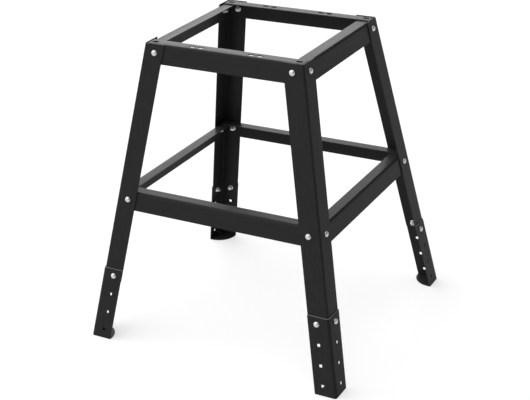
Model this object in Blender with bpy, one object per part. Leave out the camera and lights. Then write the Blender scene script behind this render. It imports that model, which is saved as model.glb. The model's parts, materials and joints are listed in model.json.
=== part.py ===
"""Scroll saw stand: bent sheet steel, bolted together, on four sliding leg extensions.

The stand is a truncated pyramid. Each sheet piece is drawn in leg coordinates:
u and v are the distances inwards, along X and along Y, from the legs' outer
corner line at the height z. That line leans, so an outline that is straight in
u and v becomes a leaning prism in the stand's own frame, which has its origin
on the floor under the middle, +Z up and the front at -Y.
"""

import math

import bmesh
import bpy
from mathutils import Matrix, Vector

# Overall sizes, in metres
HEIGHT = 0.700  # floor to the tops of the legs
TOP_WIDTH = 0.383  # over the legs' outer corners at their tops, along X
TOP_DEPTH = 0.373  # the same along Y
SPREAD_X = 0.1243  # how far a leg's line leans out on its way to the floor, along X
SPREAD_Y = 0.1162  # the same along Y

# Sheet steel
SHEET = 0.002  # thickness of every sheet piece
BEND = 0.0025  # inside radius of the folds
BEND_STEPS = 4  # facets along a fold
GAP = 0.0003  # clearance between pieces that touch

# Legs
LEG_FLANGE = 0.049
LEG_PROUD = 0.0006  # the legs' tops above the rails
LEG_TAIL = 0.012  # leg left below the bolts of its extension

# Rails under the saw, and stretchers half way down
RAIL_HEIGHT = 0.043  # upright flange of the rails and the stretchers
RAIL_FLANGE = 0.030  # flat flange of a rail
STRETCHER_FLANGE = 0.028  # flat flange of a stretcher
STRETCHER_BOTTOM = 0.320  # lower edge of the front and rear stretchers above the floor
BOLT_ABOVE_MIDDLE = 0.0025  # bolts above the middle of the front and rear upright flanges
BOLT_INSET = 0.0282  # bolt lines from the leg's outer corner

# Slots for the saw's bolts
SLOT_WIDTH = 0.0085
SLOT_RUN = 0.0065  # straight stretch between a slot's round ends
SLOT_STEPS = 6  # facets along a round end
SLOT_INNER = 0.061  # centres of the inner slots from the middle of the rail
SLOT_SPACING = 0.021  # from an inner slot to the outer one

# Leg extensions
EXTENSION_FLANGE = 0.0515
HOLE_COUNT = 4
HOLE_PITCH = 0.0465  # along the leg
FIRST_HOLE_DROP = 0.017  # first hole below the extension's top edge
LAST_HOLE_RISE = 0.0215  # last hole above the floor
FOOT_THICKNESS = 0.002
FOOT_ARC_INSET = 0.006  # centre of the foot's round edge from the outer faces
FOOT_RELIEF = 0.010  # foot cut back at the fold, from the outer corner along each flange
FOOT_STEPS = 14  # facets along the foot's round edge

# Fasteners: cup head square neck bolts and flanged nuts, M6
SHANK = 0.006
NECK = 0.0063
HEAD = 0.0136
HEAD_RISE = 0.004
HEAD_STEPS = 4  # rings over the dome
NUT_WALL = 0.002  # from the thread to a flat
NUT_HEIGHT = 0.006
NUT_RIM = 0.0017  # flange past the nut's corners
NUT_RIM_THICKNESS = 0.0015
THREAD_PROUD = 0.003  # bolt end past the nut
HOLE_CLEARANCE = 0.00035  # all round a neck or a shank in its hole
SIDES = 12  # facets round a bolt or a nut, a multiple of four and of six
SMOOTH_ANGLE = 35  # degrees: flatter edges of a fastener are shaded smooth

# Derived places
SLOPE_X = SPREAD_X / HEIGHT
SLOPE_Y = SPREAD_Y / HEIGHT
LEG_RUN = math.sqrt(1.0 + SLOPE_X**2 + SLOPE_Y**2)  # length along a leg per height
SHEET_U = SHEET * math.hypot(1.0, SLOPE_X)  # the sheet's thickness measured level
SHEET_V = SHEET * math.hypot(1.0, SLOPE_Y)
RAIL_TOP = HEIGHT - LEG_PROUD
RAIL_BOTTOM = RAIL_TOP - RAIL_HEIGHT
STRETCHER_TOP = STRETCHER_BOTTOM + RAIL_HEIGHT
HOLE_DROP = HOLE_PITCH / LEG_RUN  # from one hole of an extension down to the next
EXTENSION_BOLT = LAST_HOLE_RISE + (HOLE_COUNT - 1) * HOLE_DROP
EXTENSION_TOP = EXTENSION_BOLT + FIRST_HOLE_DROP
LEG_BOTTOM = EXTENSION_BOLT - LEG_TAIL
LAP = SHEET + GAP  # from one sheet's face to the same face of the sheet it lies on
CUT_REACH = 3 * LAP  # a hole's cutter to each side of the sheet's face
SQUARE_HOLE = NECK + 2 * HOLE_CLEARANCE
ROUND_HOLE = SHANK + 2 * HOLE_CLEARANCE
NUT_ACROSS = SHANK + 2 * NUT_WALL
NUT_CORNERS = NUT_ACROSS / math.cos(math.pi / 6)
NUT_FLANGE = NUT_CORNERS + 2 * NUT_RIM

CORNERS = {
    "front_left": (-1, -1),
    "front_right": (1, -1),
    "rear_left": (-1, 1),
    "rear_right": (1, 1),
}
ENDS = {"front": -1, "rear": 1}
FLANKS = {"left": -1, "right": 1}

BLACK_COAT = {"colour": (0.022, 0.022, 0.023), "roughness": 0.38, "metallic": 0.0}
ZINC_PLATE = {"colour": (0.74, 0.75, 0.76), "roughness": 0.26, "metallic": 1.0}


def half_width(z):
    """Distance of the legs' outer corner line from the middle, along X, at height z."""
    return TOP_WIDTH / 2 + (HEIGHT - z) * SLOPE_X


def half_depth(z):
    """The same distance along Y."""
    return TOP_DEPTH / 2 + (HEIGHT - z) * SLOPE_Y


def place(corner, u, v, z):
    """Turn leg coordinates at one corner of the stand into a point of its frame."""
    side, end = corner
    return Vector((side * (half_width(z) - u), end * (half_depth(z) - v), z))


def arc(centre, radii, start, stop, steps):
    """Points along the arc of an ellipse or a circle, from one angle to another, in degrees."""
    points = []
    for step in range(steps + 1):
        angle = math.radians(start + (stop - start) * step / steps)
        points.append((centre[0] + radii[0] * math.cos(angle), centre[1] + radii[1] * math.sin(angle)))
    return points


def angle_outline(first, second, walls, bend):
    """Outline of an angle section with a round fold and its outer corner at nought.

    One flange is as long as first and lies along the first coordinate, the other is
    as long as second and lies along the second one. walls holds the thickness
    measured along each coordinate, and bend is the inside radius.
    """
    fold = (walls[0] + bend, walls[1] + bend)
    points = [(first, 0.0), (first, walls[1])]
    points += arc(fold, (bend, bend), 270, 180, BEND_STEPS)
    points += [(walls[0], second), (0.0, second)]
    points += arc(fold, fold, 180, 270, BEND_STEPS)
    return points


def material(name, finish):
    """A Principled material with one finish."""
    made = bpy.data.materials.new(name)
    made.use_nodes = True
    shader = made.node_tree.nodes["Principled BSDF"]
    shader.inputs["Base Color"].default_value = (*finish["colour"], 1.0)
    shader.inputs["Roughness"].default_value = finish["roughness"]
    shader.inputs["Metallic"].default_value = finish["metallic"]
    return made


def add_object(name, body, finish=None, matrix=None):
    """Put a bmesh into a named object, with its faces pointing out, and parent it to the stand."""
    bmesh.ops.recalc_face_normals(body, faces=body.faces)
    mesh = bpy.data.meshes.new(name)
    body.to_mesh(mesh)
    body.free()
    made = bpy.data.objects.new(name, mesh)
    bpy.context.scene.collection.objects.link(made)
    made.parent = STAND
    made.matrix_local = matrix or Matrix.Identity(4)
    if finish is not None:
        mesh.materials.append(material(name + "_finish", finish))
    return made


def add_loft(body, rings, closed=False):
    """Join rings of equally many points into a closed skin, capped unless they come round on themselves."""
    made = [[body.verts.new(point) for point in points] for points in rings]
    pairs = list(zip(made, made[1:]))
    if closed:
        pairs.append((made[-1], made[0]))
    else:
        body.faces.new(made[0])
        body.faces.new(made[-1])
    for lower, upper in pairs:
        count = len(lower)
        for index in range(count):
            after = (index + 1) % count
            body.faces.new((lower[index], lower[after], upper[after], upper[index]))


def add_prism(name, rings, origin, finish=None):
    """A sheet piece between two outlines, with its object's origin at the point given."""
    body = bmesh.new()
    add_loft(body, [[point - origin for point in points] for points in rings])
    return add_object(name, body, finish, Matrix.Translation(origin))


def combine(target, other, operation):
    """Cut a hidden object from the target, or join it on, with a live Boolean."""
    other.hide_render = True
    other.display_type = "WIRE"
    boolean = target.modifiers.new(operation.lower(), "BOOLEAN")
    boolean.operation = operation
    boolean.object = other


def bolt_frame(corner, face, z, lift=0.0):
    """Frame of a bolt at height z on one flange of a leg: front, rear, left or right.

    Its Z axis points straight out of the flange, and its Y axis up along the leg.
    Its origin lies on the flange's outer face, moved out along Z by lift.
    """
    side, end = corner
    if face in ENDS:
        seat = place(corner, BOLT_INSET, 0.0, z)
        outwards = Vector((0.0, end, SLOPE_Y)).normalized()
    else:
        seat = place(corner, 0.0, BOLT_INSET, z)
        outwards = Vector((side, 0.0, SLOPE_X)).normalized()
    along = Vector((-side * SLOPE_X, -end * SLOPE_Y, 1.0)) / LEG_RUN
    frame = Matrix((along.cross(outwards), along, outwards)).transposed().to_4x4()
    frame.translation = seat + lift * outwards
    return frame


def ring(radius_at, level):
    """A ring of points round a bolt's axis, with the radius as a function of the angle."""
    points = []
    for index in range(SIDES):
        angle = math.radians(360 * (index + 0.5) / SIDES)
        radius = radius_at(angle)
        points.append(Vector((radius * math.cos(angle), radius * math.sin(angle), level)))
    return points


def circle(diameter):
    """Radius of a circle: the same at every angle."""
    return lambda angle: diameter / 2


def square(across):
    """Radius of a square with flats of the width given."""
    return lambda angle: across / 2 / max(abs(math.cos(angle)), abs(math.sin(angle)))


def hexagon(across):
    """Radius of a hexagon with the width given over its flats, a flat at 45 degrees."""
    sixth = math.pi / 3
    return lambda angle: across / 2 / math.cos((angle - math.pi / 4 + sixth / 2) % sixth - sixth / 2)


def head_rings():
    """The cup head, from its crown down to its seat, one gap above the sheet."""
    rings = []
    for step in range(HEAD_STEPS + 1):
        share = math.sin(math.radians(90 * (step + 0.5) / (HEAD_STEPS + 0.5)))
        rise = HEAD_RISE * math.sqrt(1.0 - share**2)
        rings.append(ring(circle(HEAD * share), GAP + rise))
    return rings


def nut_rings(bore):
    """The nut's outside, from its seat under the second sheet to its far end, between two bore rings."""
    seat = -2 * LAP
    end = seat - NUT_HEIGHT
    chamfer = (NUT_CORNERS - NUT_ACROSS) / 2
    return [
        ring(circle(bore), seat),
        ring(circle(NUT_FLANGE), seat),
        ring(circle(NUT_FLANGE), seat - NUT_RIM_THICKNESS / 2),
        ring(hexagon(NUT_ACROSS), seat - NUT_RIM_THICKNESS),
        ring(hexagon(NUT_ACROSS), end + chamfer),
        ring(circle(NUT_ACROSS), end),
        ring(circle(bore), end),
    ]


def bolt_end():
    """Level of the bolt's end, seen from the outer face of the outer sheet."""
    return -2 * LAP - NUT_HEIGHT - THREAD_PROUD


def neck_rings():
    """The square neck in the outer sheet, down to where the round shank starts."""
    return [ring(square(NECK), GAP), ring(square(NECK), -SHEET), ring(circle(SHANK), -SHEET)]


def add_fastener(name, rings, frame, closed=False):
    """A bolt, a nut or a part of one, in zinc, on its seat."""
    body = bmesh.new()
    add_loft(body, rings, closed)
    made = add_object(name, body, ZINC_PLATE, frame)
    made.data.shade_smooth()
    made.data.set_sharp_from_angle(angle=math.radians(SMOOTH_ANGLE))
    return made


def cutter(name, holes):
    """One hidden body of prisms, each with its outline and its frame."""
    body = bmesh.new()
    for outline, frame in holes:
        rings = []
        for level in (-CUT_REACH, CUT_REACH):
            rings.append([frame @ Vector((x, y, level)) for x, y in outline])
        add_loft(body, rings)
    return add_object(name, body)


def square_hole(frame):
    """A hole for a square neck."""
    half = SQUARE_HOLE / 2
    return [(-half, -half), (half, -half), (half, half), (-half, half)], frame


def round_hole(frame):
    """A hole for a round shank."""
    outline = [(point.x, point.y) for point in ring(circle(ROUND_HOLE), 0.0)]
    return outline, frame


def slot_hole(x, y):
    """An upright slot in a rail's flat flange, long along X, with round ends."""
    radii = (SLOT_WIDTH / 2, SLOT_WIDTH / 2)
    outline = arc((SLOT_RUN / 2, 0.0), radii, -90, 90, SLOT_STEPS)
    outline += arc((-SLOT_RUN / 2, 0.0), radii, 90, 270, SLOT_STEPS)
    return outline, Matrix.Translation((x, y, RAIL_TOP))


def bolt_height(bottom):
    """Height of the bolts at rails or stretchers, from the lower edge of the front and rear ones."""
    return bottom + RAIL_HEIGHT / 2 + BOLT_ABOVE_MIDDLE


def slot_line(end):
    """Distance along Y of the slots in the front or the rear rail: the middle of its flat flange."""
    return end * (half_depth(RAIL_TOP) - SHEET_V - GAP - RAIL_FLANGE / 2)


def corner_slot(side):
    """Distance along X of a corner slot: the middle of a side rail's flat flange."""
    return side * (half_width(RAIL_TOP) - SHEET_U - GAP - RAIL_FLANGE / 2)


def rings_along_leg(corner, outline, shift, levels):
    """An outline in leg coordinates, moved inwards by shift, at each of the levels."""
    return [[place(corner, u + shift[0], v + shift[1], z) for u, v in outline] for z in levels]


def add_leg(name, corner):
    """A leg: an angle section from its top down past the bolts of its extension."""
    outline = angle_outline(LEG_FLANGE, LEG_FLANGE, (SHEET_U, SHEET_V), BEND)
    rings = rings_along_leg(corner, outline, (0.0, 0.0), (LEG_BOTTOM, HEIGHT))
    leg = add_prism("leg_" + name, rings, place(corner, 0.0, 0.0, HEIGHT), BLACK_COAT)
    holes = []
    for face in name.split("_"):
        for bottom in (RAIL_BOTTOM, STRETCHER_BOTTOM):
            holes.append(square_hole(bolt_frame(corner, face, bolt_height(bottom))))
        holes.append(round_hole(bolt_frame(corner, face, EXTENSION_BOLT)))
    combine(leg, cutter("leg_holes_" + name, holes), "DIFFERENCE")


def add_extension(name, corner):
    """A leg extension with its foot. Its origin is at its foot's outer corner, on its sliding axis."""
    shift = (-SHEET_U - GAP, -SHEET_V - GAP)
    bend = BEND + LAP
    origin = place(corner, *shift, 0.0)
    outline = angle_outline(EXTENSION_FLANGE, EXTENSION_FLANGE, (SHEET_U, SHEET_V), bend)
    rings = rings_along_leg(corner, outline, shift, (0.0, EXTENSION_TOP))
    extension = add_prism("leg_extension_" + name, rings, origin, BLACK_COAT)

    half_sheet = SHEET / 2
    reach = EXTENSION_FLANGE - FOOT_ARC_INSET
    rise = FOOT_ARC_INSET - half_sheet
    radius = math.hypot(reach, rise)
    turn = math.degrees(math.atan2(rise, reach))
    foot_outline = arc((FOOT_ARC_INSET, FOOT_ARC_INSET), (radius, radius), -turn, 90 + turn, FOOT_STEPS)
    foot_outline += [(half_sheet, FOOT_RELIEF), (FOOT_RELIEF, half_sheet)]
    rings = rings_along_leg(corner, foot_outline, shift, (0.0, FOOT_THICKNESS))
    combine(extension, add_prism("foot_" + name, rings, origin), "UNION")

    holes = []
    for face in name.split("_"):
        for index in range(HOLE_COUNT):
            holes.append(square_hole(bolt_frame(corner, face, EXTENSION_BOLT - index * HOLE_DROP, LAP)))
    combine(extension, cutter("extension_holes_" + name, holes), "DIFFERENCE")


def add_end_piece(kind, name, bottom, top, flange, slotted):
    """A front or rear rail or stretcher, which runs from leg to leg."""
    end = ENDS[name]
    corners = ((-1, end), (1, end))
    outline = angle_outline(flange, top - bottom, (SHEET_V, SHEET), BEND)
    stop = SHEET_U + BEND + GAP
    inside = SHEET_V + GAP
    rings = [[place(corner, stop, inside + v, top - down) for v, down in outline] for corner in corners]
    origin = Vector((0.0, end * half_depth(top), top))
    piece = add_prism(f"{kind}_{name}", rings, origin, BLACK_COAT)
    holes = [round_hole(bolt_frame(corner, name, bolt_height(bottom))) for corner in corners]
    if slotted:
        for side in FLANKS.values():
            for x in (side * SLOT_INNER, side * (SLOT_INNER + SLOT_SPACING), corner_slot(side)):
                holes.append(slot_hole(x, slot_line(end)))
    combine(piece, cutter(f"{kind}_holes_{name}", holes), "DIFFERENCE")


def add_side_piece(kind, name, end_bottom, end_top, flange, slotted):
    """A side rail or stretcher, as high as the end ones and one sheet lower, its flat flange under theirs."""
    side = FLANKS[name]
    corners = ((side, -1), (side, 1))
    top = end_top - LAP
    outline = angle_outline(flange, end_top - end_bottom, (SHEET_U, SHEET), BEND)
    stop = 2 * (SHEET_V + GAP) + BEND
    inside = SHEET_U + GAP
    rings = [[place(corner, inside + u, stop, top - down) for u, down in outline] for corner in corners]
    origin = Vector((side * half_width(top), 0.0, top))
    piece = add_prism(f"{kind}_{name}", rings, origin, BLACK_COAT)
    holes = [round_hole(bolt_frame(corner, name, bolt_height(end_bottom))) for corner in corners]
    if slotted:
        holes += [slot_hole(corner_slot(side), slot_line(end)) for end in ENDS.values()]
    combine(piece, cutter(f"{kind}_holes_{name}", holes), "DIFFERENCE")


def add_fasteners(name, corner):
    """The bolts and nuts of one leg, on both of its flanges."""
    bore = SHANK + 2 * GAP
    shank_end = ring(circle(SHANK), bolt_end())
    whole_bolt = head_rings() + neck_rings()
    for face in name.split("_"):
        tail = f"{name}_{face}"
        frame = bolt_frame(corner, face, bolt_height(RAIL_BOTTOM))
        add_fastener("rail_bolt_" + tail, whole_bolt + nut_rings(SHANK) + [shank_end], frame)

        frame = bolt_frame(corner, face, bolt_height(STRETCHER_BOTTOM))
        add_fastener("stretcher_bolt_" + tail, whole_bolt + [shank_end], frame)
        add_fastener("stretcher_nut_" + tail, nut_rings(bore), frame, closed=True)

        frame = bolt_frame(corner, face, EXTENSION_BOLT, LAP)
        stud = [ring(circle(SHANK), -LAP)] + nut_rings(SHANK) + [shank_end]
        add_fastener("extension_bolt_head_" + tail, head_rings(), frame)
        add_fastener("extension_bolt_end_" + tail, stud, frame)


def main():
    """Build the four corners of the stand, then what runs between them."""
    for corner_name, corner in CORNERS.items():
        add_leg(corner_name, corner)
        add_extension(corner_name, corner)
        add_fasteners(corner_name, corner)
    for end in ENDS:
        add_end_piece("top_rail", end, RAIL_BOTTOM, RAIL_TOP, RAIL_FLANGE, slotted=True)
        add_end_piece("stretcher", end, STRETCHER_BOTTOM, STRETCHER_TOP, STRETCHER_FLANGE, slotted=False)
    for flank in FLANKS:
        add_side_piece("top_rail", flank, RAIL_BOTTOM, RAIL_TOP, RAIL_FLANGE, slotted=True)
        add_side_piece("stretcher", flank, STRETCHER_BOTTOM, STRETCHER_TOP, STRETCHER_FLANGE, slotted=False)


for old in list(bpy.data.objects):
    bpy.data.objects.remove(old, do_unlink=True)
STAND = bpy.data.objects.new("stand", None)
bpy.context.scene.collection.objects.link(STAND)
main()
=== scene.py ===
"""Looks of a scroll saw stand: black coated sheet, zinc bolts and nuts, and the studio round it.

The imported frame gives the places. A sheet piece is a flat pattern with its holes, folded along
its middle and set on the legs' leaning lines. A bolt or a nut is a turned form on its own axis.
All lengths are in metres, +Z is up and the front is at -Y.
"""

from __future__ import annotations

import json
import logging
import math
from collections.abc import Callable, Iterable
from dataclasses import dataclass, field
from enum import Enum
from functools import cache
from typing import Any

import bpy
import numpy as np
from mathutils import Matrix, Vector


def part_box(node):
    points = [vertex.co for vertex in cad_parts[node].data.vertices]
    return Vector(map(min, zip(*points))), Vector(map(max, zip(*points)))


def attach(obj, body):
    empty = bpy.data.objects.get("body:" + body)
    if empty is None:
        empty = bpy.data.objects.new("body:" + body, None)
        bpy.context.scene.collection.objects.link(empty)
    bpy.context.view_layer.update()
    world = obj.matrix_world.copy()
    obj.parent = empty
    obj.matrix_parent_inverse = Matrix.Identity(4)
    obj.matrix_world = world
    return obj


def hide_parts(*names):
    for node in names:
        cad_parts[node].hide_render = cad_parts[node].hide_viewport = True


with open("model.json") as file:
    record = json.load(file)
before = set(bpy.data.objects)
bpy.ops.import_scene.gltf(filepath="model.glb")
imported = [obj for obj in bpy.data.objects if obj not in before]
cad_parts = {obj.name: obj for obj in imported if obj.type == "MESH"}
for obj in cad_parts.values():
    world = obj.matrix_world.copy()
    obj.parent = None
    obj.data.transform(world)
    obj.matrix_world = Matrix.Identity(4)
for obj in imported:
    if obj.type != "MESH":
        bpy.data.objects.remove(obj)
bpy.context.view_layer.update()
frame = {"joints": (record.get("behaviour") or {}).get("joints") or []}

LOG = logging.getLogger("saw_stand")
FRAME_BODY = "frame"
# The point attribute that marks where the coat takes its paler edge colour: thinner film there, and a
# painted highlight.
EDGE_WEAR_AND_SHEEN_ATTRIBUTE = "edge"

Array = np.ndarray
Numbers = float | np.ndarray
Span = tuple[float, float]
Triple = tuple[float, float, float]
Axes = tuple[Span, Span]
Patch = tuple[slice, slice]
Socket = bpy.types.NodeSocket

WHITE: Triple = (1.0, 1.0, 1.0)
# Stretch of a noise that isn't drawn out.
EVEN: Triple = (1.0, 1.0, 1.0)
# Axes of a hole that are the pattern's own, and ones that change places.
STRAIGHT: Axes = ((1.0, 0.0), (0.0, 1.0))
CROSSED: Axes = ((0.0, 1.0), (1.0, 0.0))
# Angle in degrees past which no edge can be, so that none stays sharp.
ALL_SMOOTH = 180.0


class Face(Enum):
    """The stand's four outer faces: the axis that each looks along, and the way it looks."""

    FRONT = (1, -1)
    REAR = (1, 1)
    LEFT = (0, -1)
    RIGHT = (0, 1)

    @property
    def axis(self) -> int:
        """Index of the axis that the face looks along."""
        return self.value[0]

    @property
    def sign(self) -> int:
        """The way the face looks along its axis."""
        return self.value[1]

    @property
    def length_axis(self) -> int:
        """Index of the level axis that runs along the face."""
        return 1 - self.axis

    @property
    def label(self) -> str:
        """The face's name in the frame."""
        return self.name.lower()

    @property
    def is_end(self) -> bool:
        """True for the front and the rear."""
        return self.axis == 1


class Corner(Enum):
    """The stand's four corners: the signs of X and Y there."""

    FRONT_LEFT = (-1, -1)
    FRONT_RIGHT = (1, -1)
    REAR_LEFT = (-1, 1)
    REAR_RIGHT = (1, 1)

    @property
    def label(self) -> str:
        """The corner's name in the frame."""
        return self.name.lower()

    def faces(self) -> list[Face]:
        """The two outer faces that meet at the corner, the front or rear one first."""
        return [face for face in Face if self.value[face.axis] == face.sign]


class Grain(Enum):
    """The way a coated piece was rolled and hung: how its faint streaks are stretched."""

    ALONG_X = (0.05, 1.0, 1.0)
    ALONG_Y = (1.0, 0.05, 1.0)
    UPRIGHT = (1.0, 1.0, 0.05)


class HoleShape(Enum):
    """The punches that the sheet pieces know."""

    SQUARE = "square"
    ROUND = "round"
    SLOT = "slot"


class Graph:
    """The nodes of one material or world, made and linked one after another."""

    # Types of the shaders that a new material and a new world come with.
    SHADERS = ("BSDF_PRINCIPLED", "BACKGROUND")
    # The stretch that nearly all values of a noise lie in.
    NOISE_LOW, NOISE_HIGH = 0.3, 0.7
    # Numbers of a Mix node's sockets where it mixes colours.
    MIX_FACTOR, MIX_FIRST, MIX_SECOND, MIX_RESULT = 0, 6, 7, 2

    def __init__(self, owner: bpy.types.Material | bpy.types.World) -> None:
        """Give a new material or world its nodes.

        Args:
            owner: the material or the world.
        """
        owner.use_nodes = True
        self.owner = owner
        self.tree = owner.node_tree
        self.shader = next(node for node in self.tree.nodes if node.type in self.SHADERS)

    def add(self, kind: str, inputs: dict[str | int, Any] | None = None, **settings: Any) -> bpy.types.Node:
        """Add a node.

        Args:
            kind: the node's type.
            inputs: values or sockets for its inputs, by name or number.
            settings: values for the node's own properties.

        Returns:
            The node.
        """
        node = self.tree.nodes.new(kind)
        for key, value in settings.items():
            setattr(node, key, value)
        for key, value in (inputs or {}).items():
            self.feed(node, key, value)
        return node

    def feed(self, node: bpy.types.Node, key: str | int, value: Any) -> None:
        """Link a socket to a node's input, or set the input to a value.

        Args:
            node: the node.
            key: the input's name or number.
            value: the socket or the value, where a colour is given without its alpha.
        """
        target = node.inputs[key]
        if isinstance(value, Socket):
            self.tree.links.new(value, target)
        else:
            target.default_value = (*value, 1.0) if target.type == "RGBA" else value

    def shade(self, key: str, value: Any) -> None:
        """Link a socket to one of the shader's inputs, or set the input to a value."""
        self.feed(self.shader, key, value)

    def noise(self, scale: float, detail: float, stretch: Triple = EVEN) -> Socket:
        """A cloud of noise on the object's own coordinates.

        Args:
            scale: waves in a metre.
            detail: octaves of finer noise on top.
            stretch: factors on the three axes, where a small one draws the noise out.

        Returns:
            The socket that holds the noise, from 0 to 1.
        """
        place = self.add("ShaderNodeTexCoord").outputs["Object"]
        mapping = self.add("ShaderNodeMapping", {"Vector": place, "Scale": stretch})
        inputs = {"Vector": mapping.outputs["Vector"], "Scale": scale, "Detail": detail}
        return self.add("ShaderNodeTexNoise", inputs).outputs["Fac"]

    def between(self, noise: Socket, low: float, high: float) -> Socket:
        """Spread the usual values of a noise out, so that they run from low to high."""
        source = {"Value": noise, "From Min": self.NOISE_LOW, "From Max": self.NOISE_HIGH}
        return self.add("ShaderNodeMapRange", source | {"To Min": low, "To Max": high}).outputs["Result"]

    def blend(self, share: Socket, first: Triple | Socket, second: Triple | Socket) -> Socket:
        """Mix two colours, or sockets that hold them, by the second one's share."""
        inputs = {self.MIX_FACTOR: share, self.MIX_FIRST: first, self.MIX_SECOND: second}
        return self.add("ShaderNodeMix", inputs, data_type="RGBA").outputs[self.MIX_RESULT]

    def glowing(self, way: Socket, dim: float, glows: Iterable[Glow]) -> Socket | float:
        """A dim level with soft patches of light on top.

        Args:
            way: the direction that is asked about, as a unit vector.
            dim: the level outside the patches.
            glows: the patches.

        Returns:
            The socket that holds the sum, or the level alone where there are no patches.
        """
        light: Socket | float = dim
        for glow in glows:
            middle = Vector(glow.way).normalized()
            dot = self.add("ShaderNodeVectorMath", {0: way, 1: middle}, operation="DOT_PRODUCT")
            inputs = {
                "Value": dot.outputs["Value"],
                "From Min": math.cos(math.radians(glow.outer)),
                "From Max": math.cos(math.radians(glow.inner)),
                "To Max": glow.strength,
            }
            patch = self.add("ShaderNodeMapRange", inputs, interpolation_type="SMOOTHSTEP")
            light = self.add("ShaderNodeMath", {0: patch.outputs["Result"], 1: light}).outputs["Value"]
        return light

    def bump(self, height: Socket, strength: float, distance: float) -> None:
        """Let a height socket roughen the shader's normal."""
        node = self.add("ShaderNodeBump", {"Height": height, "Strength": strength, "Distance": distance})
        self.shade("Normal", node.outputs["Normal"])


@dataclass(frozen=True)
class BlackCoat:
    """Satin black powder coat: orange peel, faint streaks, and paler edges that are thinner film and
    painted highlight.

    Attributes:
        grain: the way the streaks run.
        dark, light: the film's colour in its darkest and lightest places.
        edge: its colour on the edges of the sheet, where the film is thinner and a highlight is painted.
        smooth, rough: roughness in the glossiest and the dullest places.
        gloss: how strongly it mirrors, where 0.5 is a clear varnish.
        streaks, clouds: waves of the streaks and of the dull places, in a metre.
        peel, peel_depth: waves of orange peel in a metre, and their height.
        peel_strength: how far the orange peel shows.
        slot: the start of the material's name.
    """

    grain: Grain
    dark: Triple = (0.0232, 0.0232, 0.0235)
    light: Triple = (0.0276, 0.0276, 0.0280)
    # A paler edge colour: partly a thinner film, partly a painted highlight along the rims.
    edge: Triple = (0.075, 0.075, 0.077)
    smooth: float = 0.33
    rough: float = 0.41
    gloss: float = 0.045
    streaks: float = 260.0
    clouds: float = 38.0
    peel: float = 900.0
    peel_depth: float = 0.00012
    peel_strength: float = 0.35
    slot: str = "black_coat"

    def material(self) -> bpy.types.Material:
        """Build the finish.

        Returns:
            The material.
        """
        graph = Graph(bpy.data.materials.new(f"{self.slot}_{self.grain.name.lower()}"))
        streaks = graph.noise(self.streaks, detail=3.0, stretch=self.grain.value)
        film = graph.blend(graph.between(streaks, 0.0, 1.0), self.dark, self.light)
        # Painted highlight: the rims take the paler edge colour, partly for a thinner film there.
        rim_wear_and_sheen = graph.add("ShaderNodeAttribute", attribute_name=EDGE_WEAR_AND_SHEEN_ATTRIBUTE).outputs["Fac"]
        graph.shade("Base Color", graph.blend(rim_wear_and_sheen, film, self.edge))
        graph.shade("Specular IOR Level", self.gloss)
        clouds = graph.noise(self.clouds, detail=4.0, stretch=self.grain.value)
        graph.shade("Roughness", graph.between(clouds, self.smooth, self.rough))
        graph.bump(graph.noise(self.peel, detail=2.0), self.peel_strength, self.peel_depth)
        return graph.owner


@dataclass(frozen=True)
class ZincPlate:
    """Bright zinc on a bolt or a nut, with a passivated tint and tumbling marks.

    Attributes:
        cool, warm: the tint in its two extremes.
        smooth, rough: roughness in the brightest and the dullest places.
        metallic: how far the metal shows through the dull film on it.
        tint, wear: waves of the tint and of the dull places, in a metre.
        wear_stretch: how the dull places are drawn out.
        marks, mark_depth: waves of the tumbling marks in a metre, and their height.
        mark_stretch: how the tumbling marks are drawn out.
        mark_strength: how far the tumbling marks show.
        slot: the material's name.
    """

    cool: Triple = (0.58, 0.60, 0.62)
    warm: Triple = (0.66, 0.65, 0.63)
    smooth: float = 0.22
    rough: float = 0.34
    metallic: float = 0.68
    tint: float = 420.0
    wear: float = 1500.0
    wear_stretch: Triple = (1.0, 1.0, 0.3)
    marks: float = 2600.0
    mark_depth: float = 0.00005
    mark_stretch: Triple = (1.0, 0.25, 1.0)
    mark_strength: float = 0.12
    slot: str = "zinc_plate"

    def material(self) -> bpy.types.Material:
        """Build the finish.

        Returns:
            The material.
        """
        graph = Graph(bpy.data.materials.new(self.slot))
        tint = graph.noise(self.tint, detail=3.0)
        graph.shade("Base Color", graph.blend(graph.between(tint, 0.0, 1.0), self.cool, self.warm))
        graph.shade("Metallic", self.metallic)
        wear = graph.noise(self.wear, detail=4.0, stretch=self.wear_stretch)
        graph.shade("Roughness", graph.between(wear, self.smooth, self.rough))
        marks = graph.noise(self.marks, detail=3.0, stretch=self.mark_stretch)
        graph.bump(marks, self.mark_strength, self.mark_depth)
        return graph.owner


Finish = BlackCoat | ZincPlate


@cache
def finish_material(finish: Finish) -> bpy.types.Material:
    """The material of a finish, which is built once."""
    return finish.material()


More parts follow.
